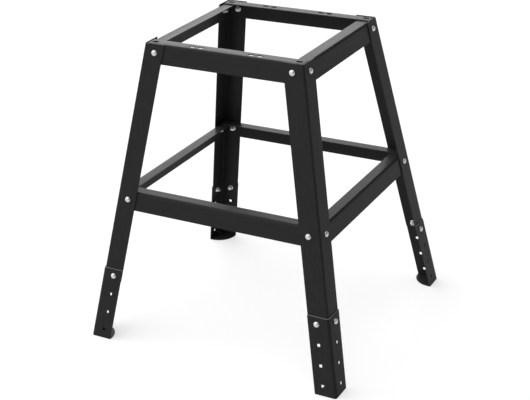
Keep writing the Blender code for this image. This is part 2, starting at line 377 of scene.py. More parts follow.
@dataclass(frozen=True)
class LegLines:
    """The legs' outer corner lines, which lean outwards on their way down.

    Attributes:
        top: height of the legs' tops.
        half: distances of a line from the middle at the top, along X and Y.
        slope: how far a line leans out along X and Y in a metre of height.
    """

    top: float
    half: Span
    slope: Span

    @classmethod
    def from_frame(cls) -> LegLines:
        """Read the lines from one leg's box and the axis that its extension slides along.

        Returns:
            The lines.
        """
        low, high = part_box("leg_front_right")
        slide = next(joint for joint in frame["joints"] if joint["child"] == "extension_front_right")
        x, y, z = slide["axis"]
        slope = (-x / z, y / z)
        rise = high.z - low.z
        return cls(high.z, (high.x - rise * slope[0], -low.y - rise * slope[1]), slope)

    @property
    def run(self) -> float:
        """Length along a leg for a metre of height."""
        return math.sqrt(1.0 + self.slope[0] ** 2 + self.slope[1] ** 2)

    def reach(self, axis: int, z: Numbers) -> Numbers:
        """Distance of the lines from the middle, along axis 0 or 1, at a height or an array of heights."""
        return self.half[axis] + (self.top - z) * self.slope[axis]

    def place(self, corner: Corner, u: Numbers, v: Numbers, z: Numbers) -> Array:
        """Points at distances u and v inwards, along X and Y, from a corner's line at heights z."""
        side, end = corner.value
        return np.stack([side * (self.reach(0, z) - u), end * (self.reach(1, z) - v), z], axis=-1)


@dataclass(frozen=True)
class Sheet:
    """Sheet steel: its thickness, its folds and its coated edges.

    Attributes:
        thickness: of the steel.
        bend: inside radius of a fold.
        gap: clearance between pieces that lie on each other.
        edge: radius of the coated edges.
        edge_steps: facets along that radius.
        fine, coarse: widest steps of the grid, near holes and folds and elsewhere.
        border: width of the fine strip along an edge or beside a fold.
        worn: share of the painted edge highlight and thinner film on the long edges; 1 is as on the cut
            ends.
    """

    thickness: float = 0.002
    bend: float = 0.0025
    gap: float = 0.0003
    edge: float = 0.0004
    edge_steps: int = 3
    fine: float = 0.0009
    coarse: float = 0.014
    border: float = 0.0012
    # Share of the painted edge highlight, with its thinner film, that the long edges get.
    worn: float = 0.3

    @property
    def lap(self) -> float:
        """From one sheet's face to the same face of the sheet that it lies on."""
        return self.thickness + self.gap

    @property
    def fold_radius(self) -> float:
        """Outside radius of a fold."""
        return self.bend + self.thickness

    def rim(self) -> tuple[Array, Array]:
        """The rounded edge of the sheet, as a profile: a quarter turn, the cut face, a quarter turn.

        Returns:
            How far each point of the profile lies inside the cut face, and how deep in the sheet.
        """
        turn = np.linspace(0.0, math.pi / 2, self.edge_steps + 1)
        inside = self.edge * (1.0 - np.sin(turn))
        deep = self.edge * (1.0 - np.cos(turn))
        return np.concatenate([inside, inside[::-1]]), np.concatenate([deep, self.thickness - deep[::-1]])

    def bordered_rim(self) -> tuple[Array, Array]:
        """The same profile with one more point on each face, a border's width inside the cut face.

        Returns:
            How far each point of the profile lies inside the cut face, and how deep in the sheet.
        """
        inside, deep = self.rim()
        beyond = [self.border]
        return np.concatenate([beyond, inside, beyond]), np.concatenate([[0.0], deep, [self.thickness]])


@dataclass(frozen=True)
class AngleSection:
    """An angle section: two flanges that meet in a round fold.

    Attributes:
        first, second: widths of the flanges from the outer corner.
        radius: outside radius of the fold.
    """

    first: float
    second: float
    radius: float

    @property
    def half_arc(self) -> float:
        """Half the length of the fold's outer arc."""
        return self.radius * math.pi / 4

    def on_first(self, distance: float) -> float:
        """Place on the pattern of a point on the first flange, by its distance from the outer corner."""
        return -self.on_second(distance)

    def on_second(self, distance: float) -> float:
        """The same on the second flange."""
        return distance - self.radius + self.half_arc

    def fold(self, across: Array, deep: Array) -> tuple[Array, Array]:
        """Fold the flat pattern: straight, then a quarter turn about the fold's centre, then straight.

        Args:
            across: distance over the pattern, nought in the middle of the fold.
            deep: depth in the sheet, from the outer face.

        Returns:
            Distances from the outer corner along the first flange and along the second.
        """
        turn = np.clip(across / self.radius + math.pi / 4, 0.0, math.pi / 2)
        arm = self.radius - deep
        first = self.radius - arm * np.sin(turn) + np.maximum(-across - self.half_arc, 0.0)
        second = self.radius - arm * np.cos(turn) + np.maximum(across - self.half_arc, 0.0)
        return first, second


def superellipse(half: float, angle: Array, power: float) -> Array:
    """Distance of a square's edge from its centre at each angle. A higher power gives sharper corners."""
    return half / (np.abs(np.cos(angle)) ** power + np.abs(np.sin(angle)) ** power) ** (1.0 / power)


@dataclass(frozen=True)
class Hole:
    """A hole punched in a flat pattern.

    Attributes:
        shape: the punch.
        across, along: its centre on the pattern.
        size: width of the square, the circle or the slot.
        straight: length of a slot's straight sides.
        axes: rows of the pattern's two coordinates for a step along each of the hole's own axes.
        margin: sheet that the hole's patch keeps round it.
        corner_power: of the superellipse that a square is, which rounds its corners a little.
        outline_points: points on the outline that the patch is measured from.
    """

    shape: HoleShape
    across: float
    along: float
    size: float
    straight: float = 0.0
    axes: Axes = STRAIGHT
    margin: float = 0.0028
    corner_power: float = 24.0
    outline_points: int = 73

    def radius(self, angle: Array) -> Array:
        """Distance of the hole's edge from its centre.

        A circle's is constant, a square's is a superellipse, and a slot's is measured to its
        straight sides, or to its round ends where a side is over before it is met.

        Args:
            angle: directions on the hole's own axes.

        Returns:
            The distance in each direction.
        """
        half = self.size / 2
        if self.shape is HoleShape.ROUND:
            return np.full_like(angle, half)
        if self.shape is HoleShape.SQUARE:
            return superellipse(half, angle, self.corner_power)
        cosine, sine = np.abs(np.cos(angle)), np.abs(np.sin(angle))
        shift, least_sine = self.straight / 2, 1e-6
        at_side = half / np.maximum(sine, least_sine)
        at_end = shift * cosine + np.sqrt(np.maximum(half**2 - (shift * sine) ** 2, 0.0))
        return np.where(at_side * cosine <= shift, at_side, at_end)

    def spans(self) -> tuple[Span, Span]:
        """Measure the hole's patch.

        Returns:
            The stretches that the patch takes across the pattern and along it.
        """
        angle = np.linspace(0.0, 2 * math.pi, self.outline_points)
        outline = self.outline(angle, np.array([self.margin]))[0]
        low, high = outline.min(axis=0), outline.max(axis=0)
        return (low[0], high[0]), (low[1], high[1])

    def outline(self, angle: Array, beyond: Array) -> Array:
        """Rings round the hole.

        Args:
            angle: directions on the hole's own axes.
            beyond: distance of each ring past the hole's edge.

        Returns:
            An array of rings of points on the pattern.
        """
        radius = self.radius(angle)[None, :] + beyond[:, None]
        own = np.stack([radius * np.cos(angle), radius * np.sin(angle)], axis=-1)
        return own @ np.array(self.axes).T + (self.across, self.along)


def graded_lines(low: float, high: float, spans: Iterable[Span], sheet: Sheet) -> Array:
    """Grid lines from low to high, close together in the spans and wide apart between them.

    Args:
        low, high: the first and the last line.
        spans: stretches with close lines, which may overlap.
        sheet: the steel, which has the widest steps.

    Returns:
        The lines' places in rising order.
    """
    merged: list[list[float]] = []
    for start, stop in sorted((max(low, start), min(high, stop)) for start, stop in spans):
        if merged and start <= merged[-1][1] + sheet.fine:
            merged[-1][1] = max(merged[-1][1], stop)
        else:
            merged.append([start, stop])
    stops = [low, *(place for span in merged for place in span), high]
    slack = 1e-9
    runs = []
    for index, (start, stop) in enumerate(zip(stops, stops[1:])):
        step = sheet.fine if index % 2 else sheet.coarse
        count = math.ceil((stop - start) / step - slack)
        runs.append(np.linspace(start, stop, count, endpoint=False))
    return np.append(np.concatenate(runs), high)


def nearest_lines(lines: Array, span: Span) -> slice:
    """The grid lines that lie nearest to the two ends of a span, as the first and the last of a slice."""
    first, last = (int(np.abs(lines - place).argmin()) for place in span)
    return slice(first, last)


def ring_angles(sides: int) -> Array:
    """The angles of the points of a ring."""
    return np.linspace(0.0, 2 * math.pi, sides, endpoint=False)


def turned_rings(radius: Array, level: Numbers, angle: Array) -> Array:
    """Rings of points about the Z axis, from their radius, level and angle, one ring a row."""
    turned = np.broadcast_arrays(radius * np.cos(angle), radius * np.sin(angle), level)
    return np.stack(turned, axis=-1)


@dataclass
class Surface:
    """Points and faces of skins, gathered as whole arrays.

    Attributes:
        points: arrays of points, three numbers each.
        quads: arrays of faces with four corners.
        triangles: arrays of faces with three corners.
        rim_wear_and_sheen: arrays of each point's share of painted edge highlight and thinner film, 0 to 1.
    """

    points: list[Array] = field(default_factory=list)
    quads: list[Array] = field(default_factory=list)
    triangles: list[Array] = field(default_factory=list)
    rim_wear_and_sheen: list[Array] = field(default_factory=list)

    @classmethod
    def capped(cls, rings: Array, tips: Array) -> Surface:
        """A skin of rings that are joined, each to the next, and closed to points at the ends.

        Args:
            rings: the rings, one a row.
            tips: the point before the first ring and, unless the skin stays open, the one after the last.

        Returns:
            The skin.
        """
        made = cls()
        ids = made.add_points(rings)
        made.join_rings(ids)
        for ring, tip, first in zip((ids[0], ids[-1]), made.add_points(tips), (True, False)):
            made.cap_ring(ring, tip, first)
        return made

    def add_points(self, points: Array, rim_wear_and_sheen: Numbers = 0.0) -> Array:
        """Add points.

        Args:
            points: an array whose last axis holds three numbers.
            rim_wear_and_sheen: share of painted edge highlight and thinner film, one number or one for
                each.

        Returns:
            Their numbers, in the array's own shape.
        """
        shape = points.shape[:-1]
        start = sum(map(len, self.points))
        self.points.append(points.reshape(-1, 3))
        self.rim_wear_and_sheen.append(np.broadcast_to(rim_wear_and_sheen, shape).ravel())
        return np.arange(start, start + math.prod(shape)).reshape(shape)

    def join_rings(self, rings: Array) -> None:
        """Join rings, each to the next, all the way round.

        Args:
            rings: numbers of the rings' points, one ring a row.
        """
        lower, upper = rings[:-1], rings[1:]
        corners = [lower, np.roll(lower, -1, axis=1), np.roll(upper, -1, axis=1), upper]
        self.quads.append(np.stack(corners, axis=-1).reshape(-1, 4))

    def cap_ring(self, ring: Array, tip: int, first: bool) -> None:
        """Close a ring with a fan of triangles to a point.

        Args:
            ring: numbers of the ring's points.
            tip: number of the point.
            first: whether the point lies before the first ring or after the last.
        """
        after = np.roll(ring, -1)
        corners = [after, ring] if first else [ring, after]
        self.triangles.append(np.stack([*corners, np.full_like(ring, tip)], axis=-1))

    def moved(self, move: Callable[[Array], Array]) -> Surface:
        """The same skin after a function has moved its points, which it gets one a row."""
        return Surface([move(np.concatenate(self.points))], self.quads, self.triangles, self.rim_wear_and_sheen)

    def arrays(self) -> tuple[Array, Array, Array, Array]:
        """Everything as four arrays, without points that no face uses, and with the faces pointing out.

        The skin is turned round where the volume under its faces comes out below nought.

        Returns:
            The points, the quads, the triangles, and each point's share of painted highlight and thinner
            film.
        """
        points, rim_wear_and_sheen = np.concatenate(self.points), np.concatenate(self.rim_wear_and_sheen)
        quads = np.concatenate(self.quads)
        triangles = np.concatenate([*self.triangles, np.empty((0, 3), int)])
        fans = np.concatenate([triangles, quads[:, [0, 1, 2]], quads[:, [0, 2, 3]]])
        a, b, c = (points[fans[:, index]] for index in range(3))
        if np.einsum("ij,ij->i", a, np.cross(b, c)).sum() < 0.0:
            quads, triangles = quads[:, ::-1], triangles[:, ::-1]
        used = np.unique(np.concatenate([quads.ravel(), triangles.ravel()]))
        number = np.zeros(len(points), int)
        number[used] = np.arange(len(used))
        return points[used], number[quads], number[triangles], rim_wear_and_sheen[used]


@dataclass(frozen=True)
class Pattern:
    """The flat pattern of a sheet piece: a grid of lines, with holes in patches of it.

    Attributes:
        across, along: places of the grid lines over the pattern and along it.
        holes: the holes.
        sheet: the steel.
    """

    across: Array
    along: Array
    holes: list[Hole]
    sheet: Sheet

    @classmethod
    def ruled(cls, section: AngleSection, ends: Span, holes: list[Hole], sheet: Sheet) -> Pattern:
        """Rule the grid of a piece.

        Args:
            section: the piece's angle section.
            ends: its two ends along the pattern.
            holes: its holes.
            sheet: its steel.

        Returns:
            The pattern, whose outermost lines lie one edge radius inside the cut edges.
        """
        border, reach = sheet.border, section.half_arc + sheet.border
        low = section.on_first(section.first) + sheet.edge
        high = section.on_second(section.second) - sheet.edge
        bottom, top = ends[0] + sheet.edge, ends[1] - sheet.edge
        spans = [hole.spans() for hole in holes]
        over = [(low, low + border), (-reach, reach), (high - border, high), *(span[0] for span in spans)]
        down = [(bottom, bottom + border), (top - border, top), *(span[1] for span in spans)]
        across = graded_lines(low, high, over, sheet)
        return cls(across, graded_lines(bottom, top, down, sheet), holes, sheet)

    def patch(self, hole: Hole) -> Patch:
        """The grid lines, from first to last, of the patch that a hole takes."""
        over, down = hole.spans()
        return nearest_lines(self.across, over), nearest_lines(self.along, down)

    def surface(self) -> Surface:
        """The sheet as a closed skin over the pattern, in pattern coordinates.

        Both faces are the grid, with a patch left out at each hole. The rim's profile is carried
        round the outline and round each hole, and a ring of faces joins a patch's edge to the hole.

        Returns:
            The skin, whose points hold the places across and along, and the depth.
        """
        made = Surface()
        grid = np.stack(np.meshgrid(self.across, self.along, indexing="ij"), axis=-1)
        keep = np.ones((len(self.across) - 1, len(self.along) - 1), bool)
        for hole in self.holes:
            keep[self.patch(hole)] = False
        faces = []
        for deep in (0.0, self.sheet.thickness):
            ids = made.add_points(np.dstack([grid, np.full(grid.shape[:2], deep)]))
            cells = np.stack([ids[:-1, :-1], ids[1:, :-1], ids[1:, 1:], ids[:-1, 1:]], axis=-1)[keep]
            made.quads.append(cells if deep == 0.0 else cells[:, ::-1])
            faces.append(ids)
        self.add_outline(made, grid, faces)
        for hole in self.holes:
            self.add_hole(made, grid, faces, hole)
        return made

    @staticmethod
    def loop(table: Array, patch: Patch) -> Array:
        """Go round the edge of a patch.

        Args:
            table: what each point of the grid holds.
            patch: the patch's grid lines.

        Returns:
            What the points along the edge hold, in order round it.
        """
        (first, last), (left, right) = ((lines.start, lines.stop) for lines in patch)
        there = [table[first:last, left], table[last, left:right]]
        back = [table[last:first:-1, right], table[first, right:left:-1]]
        return np.concatenate(there + back)

    def add_outline(self, made: Surface, grid: Array, faces: list[Array]) -> None:
        """Carry the rim's profile round the outline, from the outer face to the inner one.

        Args:
            made: the skin to add to.
            grid: the pattern's points.
            faces: numbers of the two faces' points.
        """
        whole = slice(0, len(self.across) - 1), slice(0, len(self.along) - 1)
        outwards = np.zeros_like(grid)
        outwards[0, :, 0], outwards[-1, :, 0] = -1.0, 1.0
        outwards[:, 0, 1], outwards[:, -1, 1] = -1.0, 1.0
        inside, deep = (profile[1:-1, None] for profile in self.sheet.rim())
        path, way = self.loop(grid, whole), self.loop(outwards, whole)
        rings = path[None] + way[None] * (self.sheet.edge - inside)[..., None]
        depth = np.broadcast_to(deep, rings.shape[:2])
        # Painted highlight and thinner film: the cut ends get the full paler edge colour, the long edges
        # their share.
        rim_wear_and_sheen = np.maximum(np.abs(way[:, 1]), self.sheet.worn)
        ids = made.add_points(np.dstack([rings, depth]), rim_wear_and_sheen)
        stack = np.vstack([self.loop(faces[0], whole), ids, self.loop(faces[1], whole)])
        made.join_rings(stack[:, ::-1])

    def add_hole(self, made: Surface, grid: Array, faces: list[Array], hole: Hole) -> None:
        """Carry the rim's profile round a hole, and join it to the edges of its patch on both faces.

        Args:
            made: the skin to add to.
            grid: the pattern's points.
            faces: numbers of the two faces' points.
            hole: the hole.
        """
        patch = self.patch(hole)
        own = (self.loop(grid, patch) - (hole.across, hole.along)) @ np.linalg.inv(np.array(hole.axes)).T
        angle = np.arctan2(own[:, 1], own[:, 0])
        beyond, deep = self.sheet.bordered_rim()
        rings = hole.outline(angle, beyond)
        depth = np.broadcast_to(deep[:, None], rings.shape[:2])
        ids = made.add_points(np.dstack([rings, depth]))
        made.join_rings(np.vstack([self.loop(faces[0], patch), ids, self.loop(faces[1], patch)]))


def add_piece(
    name: str,
    skin: Surface,
    body: str,
    finish: Finish,
    replaced: Iterable[str] = (),
    crease: float = ALL_SMOOTH,
) -> None:
    """Put a skin into an object, dress it and let it ride on its body.

    Args:
        name: the piece's name.
        skin: its points and faces.
        body: the body of the frame that it moves with.
        finish: its finish.
        replaced: nodes of the frame that it stands for.
        crease: angle in degrees past which an edge stays sharp.
    """
    points, quads, triangles, rim_wear_and_sheen = skin.arrays()
    mesh = bpy.data.meshes.new(name)
    mesh.from_pydata(points.tolist(), [], quads.tolist() + triangles.tolist())
    mesh.shade_smooth()
    if crease < ALL_SMOOTH:
        mesh.set_sharp_from_angle(angle=math.radians(crease))
    # The edge attribute carries each point's share of the painted edge highlight and thinner film.
    edge = mesh.attributes.new(EDGE_WEAR_AND_SHEEN_ATTRIBUTE, "FLOAT", "POINT")
    edge.data.foreach_set("value", rim_wear_and_sheen.astype(np.float32))
    mesh.materials.append(finish_material(finish))
    made = bpy.data.objects.new(name, mesh)
    bpy.context.scene.collection.objects.link(made)
    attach(made, body)
    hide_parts(*replaced)
    LOG.info("%s: %d faces on %s", name, len(mesh.polygons), body)


@dataclass(frozen=True)
class BoltPlan:
    """Where the bolts go, which the sheets' holes and the fasteners share.

    Attributes:
        inset: bolt lines from a leg's outer corner.
        above_middle: bolts above the middle of the front and rear pieces' upright flanges.
        first_drop: first hole of an extension below its top edge.
        pitch: from one hole of an extension to the next, along the leg.
        count: holes in each flange of an extension.
        square, round: widths of the holes for a neck and for a shank.
    """

    inset: float = 0.0282
    above_middle: float = 0.0025
    first_drop: float = 0.017
    pitch: float = 0.0465
    count: int = 4
    square: float = 0.0070
    round: float = 0.0067

    def cross_height(self, kind: str) -> float:
        """Height of the bolts of the rails or the stretchers."""
        low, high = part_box(f"{kind}_front")
        return (low.z + high.z) / 2 + self.above_middle

    def extension_height(self) -> float:
        """Height of the bolts of the extensions."""
        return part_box("leg_extension_front_left")[1].z - self.first_drop


@dataclass(frozen=True)
class Fitted:
    """A piece, or a set of pieces, that is fitted to the rest of the stand.

    Attributes:
        lines: the legs' lines.
        sheet: the steel.
        plan: the bolts' places.
    """

    lines: LegLines
    sheet: Sheet
    plan: BoltPlan


@dataclass(frozen=True)
class LegPiece(Fitted):
    """A folded piece that runs along a leg: the leg itself.

    Attributes:
        corner: where it stands.
        flange: width of its flanges, measured level.
    """

    corner: Corner
    flange: float = 0.049

    @property
    def node(self) -> str:
        """The node of the frame that the piece stands for."""
        return f"leg_{self.corner.label}"

    @property
    def body(self) -> str:
        """The body that the piece rides on."""
        return FRAME_BODY

    @property
    def outset(self) -> float:
        """How far the piece's outer faces lie outside the leg's."""
        return 0.0

    @property
    def coat(self) -> BlackCoat:
        """The piece's finish."""
        return BlackCoat(Grain.UPRIGHT)

    @property
    def section(self) -> AngleSection:
        """The piece's angle section, with its fold outside whatever it laps."""
        return AngleSection(self.flange, self.flange, self.sheet.fold_radius + self.outset)

    def punch(self, face: Face, z: float, shape: HoleShape) -> Hole:
        """A hole on the bolt line of one flange, square to the leg's length.

        Args:
            face: the flange's outer face.
            z: the hole's height.
            shape: square or round.

        Returns:
            The hole.
        """
        distance = self.plan.inset + self.outset
        across = self.section.on_first(distance) if face.is_end else self.section.on_second(distance)
        lean = self.lines.slope[face.length_axis] / self.lines.run
        level = 1.0 / math.sqrt(1.0 - lean**2)
        way = -level if face.is_end else level
        axes = ((way, 0.0), (-lean * level / self.lines.run, 1.0 / self.lines.run))
        size = self.plan.square if shape is HoleShape.SQUARE else self.plan.round
        return Hole(shape, across, z, size, axes=axes)

    def holes(self) -> list[Hole]:
        """Place the holes for the bolts of a leg.

        Returns:
            Square holes for the rails' and the stretchers' bolts, and round ones for the extension's.
        """
        made = []
        for face in self.corner.faces():
            for kind in ("top_rail", "stretcher"):
                made.append(self.punch(face, self.plan.cross_height(kind), HoleShape.SQUARE))
            made.append(self.punch(face, self.plan.extension_height(), HoleShape.ROUND))
        return made

    def on_leg(self, u: Array, v: Array, z: Array) -> Array:
        """Points by their distances inwards from the piece's outer faces."""
        return self.lines.place(self.corner, u - self.outset, v - self.outset, z)

    def folded(self, flat: Array) -> Array:
        """Fold points of the pattern and set them on the leg's line."""
        u, v = self.section.fold(flat[:, 0], flat[:, 2])
        return self.on_leg(u, v, flat[:, 1])

    def build(self) -> None:
        """Rule the pattern between the node's ends, fold it and set it on the leg's line."""
        low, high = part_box(self.node)
        pattern = Pattern.ruled(self.section, (low.z, high.z), self.holes(), self.sheet)
        skin = pattern.surface().moved(self.folded)
        add_piece(f"coated_{self.node}", skin, self.body, self.coat, [self.node])


@dataclass(frozen=True)
class ExtensionPiece(LegPiece):
    """A leg extension: an angle outside the leg, with its row of holes, and the foot plate in its end.

    Attributes:
        flange: width of its flanges, measured level.
        worn_edge: colour of its cut ends, pale from wear of the film and a painted highlight.
        foot_centre: centre of the foot plate's round edge, in from both outer faces.
        foot_relief: where the plate is cut back at the fold, from the outer corner along each flange.
        foot_clearance: between the plate and the flanges' inner faces.
        foot_steps: points along the round edge, along a straight one and along the cut corner.
    """

    flange: float = 0.0515
    # Pale cut ends: partly wear of the film, partly a painted highlight along the top edges.
    worn_edge: Triple = (0.19, 0.19, 0.19)
    foot_centre: float = 0.006
    foot_relief: float = 0.009
    foot_clearance: float = 0.00005
    foot_steps: tuple[int, int, int] = (40, 12, 8)

    @property
    def node(self) -> str:
        """The node of the frame that the piece stands for."""
        return f"leg_extension_{self.corner.label}"

    @property
    def body(self) -> str:
        """The body that the piece rides on."""
        return f"extension_{self.corner.label}"

    @property
    def outset(self) -> float:
        """How far the piece's outer faces lie outside the leg's."""
        return self.sheet.lap

    @property
    def coat(self) -> BlackCoat:
        """The piece's finish, with cut ends pale from wear of the film and a painted highlight."""
        return BlackCoat(Grain.UPRIGHT, edge=self.worn_edge)

    def holes(self) -> list[Hole]:
        """Place rows of square holes down both flanges.

        Returns:
            The holes.
        """
        top, drop = self.plan.extension_height(), self.plan.pitch / self.lines.run
        return [
            self.punch(face, top - index * drop, HoleShape.SQUARE)
            for face in self.corner.faces()
            for index in range(self.plan.count)
        ]

    def foot_outline(self) -> Array:
        """Outline of the foot plate: the round edge, then the two inner faces with the cut corner between.

        Returns:
            Distances inwards from the extension's outer faces, one point a row.
        """
        wall = self.sheet.thickness + self.foot_clearance
        reach = self.flange - self.foot_centre
        radius = math.hypot(reach, self.foot_centre - self.sheet.thickness / 2)
        dip = math.asin((self.foot_centre - wall) / radius)
        round_steps, straight_steps, cut_steps = self.foot_steps
        angle = np.linspace(-dip, math.pi / 2 + dip, round_steps, endpoint=False)
        edge = self.foot_centre + radius * np.stack([np.cos(angle), np.sin(angle)], axis=-1)
        end = self.foot_centre + radius * math.cos(dip)
        down = np.linspace(end, self.foot_relief, straight_steps, endpoint=False)
        side = np.stack([np.full(straight_steps, wall), down], axis=-1)
        cut = np.linspace((wall, self.foot_relief), (self.foot_relief, wall), cut_steps)
        other = side[:0:-1, ::-1]
        return np.concatenate([edge, side, cut, other])

    def build(self) -> None:
        """Build the angle, then the foot plate in its lower end."""
        super().build()
        self.build_foot()

    def build_foot(self) -> None:
        """Carry the sheet's rounded edge round the foot's outline, and close both faces to their middle."""
        path = self.foot_outline()
        tangent = np.roll(path, -1, axis=0) - np.roll(path, 1, axis=0)
        normal = np.stack([tangent[:, 1], -tangent[:, 0]], axis=-1)
        normal /= np.linalg.norm(normal, axis=1, keepdims=True)
        inside, deep = self.sheet.bordered_rim()
        rings = path[None] - normal[None] * inside[:, None, None]
        height = np.broadcast_to(self.sheet.thickness - deep[:, None], rings.shape[:2])
        tips = np.array([self.sheet.thickness, 0.0])
        skin = Surface.capped(
            self.on_leg(rings[..., 0], rings[..., 1], height),
            self.on_leg(*path.mean(axis=0), tips),
        )
        add_piece(f"foot_plate_{self.corner.label}", skin, self.body, BlackCoat(Grain.UPRIGHT))


@dataclass(frozen=True)
class CrossPiece(Fitted):
    """A rail or a stretcher: an angle with a flat flange on top, which runs between two legs.

    Attributes:
        face: the outer face of the stand that it lies behind.
        kind: the start of its node's name.
        flange: width of its flat flange.
        slots: places along the piece of the slots in the flat flange.
        slot_width, slot_straight: width of a slot, and length of its straight sides.
    """

    face: Face
    kind: str
    flange: float
    slots: tuple[float, ...] = ()
    slot_width: float = 0.0085
    slot_straight: float = 0.0065

    @property
    def node(self) -> str:
        """The node of the frame that the piece stands for."""
        return f"{self.kind}_{self.face.label}"

    @property
    def top(self) -> float:
        """Height of the flat flange's upper face."""
        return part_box(self.node)[1].z

    @property
    def section(self) -> AngleSection:
        """The flat flange first, then the upright one."""
        return AngleSection(self.flange, self.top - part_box(self.node)[0].z, self.sheet.fold_radius)

    @property
    def half_length(self) -> float:
        """Half the length of the flat flange: to the fold of the leg, or to the end piece before it."""
        laps = 1 if self.face.is_end else 2
        return self.lines.reach(self.face.length_axis, self.top) - laps * self.sheet.lap - self.sheet.bend

    def bolt_reach(self) -> float:
        """Distance of the bolts from the middle of the piece."""
        return self.lines.reach(self.face.length_axis, self.plan.cross_height(self.kind)) - self.plan.inset

    def holes(self) -> list[Hole]:
        """Place the holes and the slots.

        Returns:
            Round holes in the upright flange, and slots that run along X in the flat one.
        """
        upright = self.section.on_second(self.top - self.plan.cross_height(self.kind))
        flat = self.section.on_first(self.flange / 2)
        axes = CROSSED if self.face.is_end else STRAIGHT
        made = [Hole(HoleShape.ROUND, upright, way * self.bolt_reach(), self.plan.round) for way in (-1, 1)]
        for place in self.slots:
            made.append(Hole(HoleShape.SLOT, flat, place, self.slot_width, self.slot_straight, axes))
        return made

    def folded(self, flat: Array) -> Array:
        """Fold points of the pattern, and lean the ends with the legs from past the bolts outwards.

        Args:
            flat: the points, with their places across and along the pattern and their depth.

        Returns:
            The points on the stand.
        """
        inwards, down = self.section.fold(flat[:, 0], flat[:, 2])
        along, z = flat[:, 1], self.top - down
        clear = self.bolt_reach() + self.plan.round
        share = np.clip((np.abs(along) - clear) / (self.half_length - clear), 0.0, 1.0)
        lean = share * self.lines.slope[self.face.length_axis] * down
        placed = np.empty_like(flat)
        placed[:, self.face.length_axis] = along + np.sign(along) * lean
        depth = self.lines.reach(self.face.axis, z) - self.sheet.lap - inwards
        placed[:, self.face.axis] = self.face.sign * depth
        placed[:, 2] = z
        return placed

    def build(self) -> None:
        """Rule the pattern between the ends of the flat flange, fold it and set it between the legs."""
        ends = (-self.half_length, self.half_length)
        skin = Pattern.ruled(self.section, ends, self.holes(), self.sheet).surface().moved(self.folded)
        grain = (Grain.ALONG_X, Grain.ALONG_Y)[self.face.length_axis]
        add_piece(f"coated_{self.node}", skin, FRAME_BODY, BlackCoat(grain), [self.node])


@dataclass(frozen=True)
class CupBolt:
    """A cup head bolt with a square neck, turned about its own axis.

    Level nought is the outer face of the sheet under the head, and levels fall towards the nut.

    Attributes:
        head, rise: width and height of the head.
        fullness: power on the head's outline, where 1 is an ellipse and less is fuller.
        crown: angle of the first ring from the head's middle.
        underside: how far inside the head's edge the ring on its underside lies.
        seat: film of coat under the head.
        neck: width of the square neck.
        neck_power: of the superellipse that the neck is.
        shank: diameter over the thread.
        thread_pitch, thread_depth: of the thread.
        chamfer: of the bolt's end.
        sides: points round the bolt.
        dome_steps: rings over the head.
        thread_steps: rings in a turn of the thread.
    """

    head: float = 0.0136
    rise: float = 0.0043
    fullness: float = 0.9
    crown: float = 0.06
    underside: float = 0.0006
    seat: float = 0.00005
    neck: float = 0.0063
    neck_power: float = 10.0
    shank: float = 0.006
    thread_pitch: float = 0.001
    thread_depth: float = 0.00055
    chamfer: float = 0.0008
    sides: int = 48
    dome_steps: int = 14
    thread_steps: int = 6

    def rings(self, neck_end: float, end: float) -> Array:
        """The bolt as rings from the crown to the end.

        The head is a somewhat full half ellipse turned round. The neck is a superellipse. On the
        thread the radius falls and rises with the level and the angle together, which makes a
        helix, and the groove runs out towards the neck and into the end's chamfer.

        Args:
            neck_end: level of the neck's lower end.
            end: level of the bolt's end.

        Returns:
            An array of rings of points about the bolt's axis.
        """
        angle = ring_angles(self.sides)
        turn = np.linspace(self.crown, math.pi / 2, self.dome_steps)[:, None]
        dome = self.head / 2 * np.sin(turn) * np.ones_like(angle)
        dome_level = self.seat + self.rise * np.cos(turn) ** self.fullness
        under = np.full_like(angle, self.head / 2 - self.underside)
        square = superellipse(self.neck / 2, angle, self.neck_power)
        count = math.ceil((neck_end - end) / self.thread_pitch * self.thread_steps)
        level = np.linspace(neck_end, end, count)[:, None]
        phase = (level / self.thread_pitch - angle / (2 * math.pi)) % 1.0
        groove = self.thread_depth * (1.0 - np.abs(2.0 * phase - 1.0))
        groove *= np.clip((neck_end - level) / self.thread_pitch, 0.0, 1.0)
        crest = self.shank / 2 - np.clip(self.chamfer - (level - end), 0.0, None)
        thread = np.minimum(self.shank / 2 - groove, crest)
        radius = np.vstack([dome, under, square, square, thread])
        levels = np.vstack([dome_level, self.seat, self.seat, neck_end, level])
        return turned_rings(radius, levels, angle)


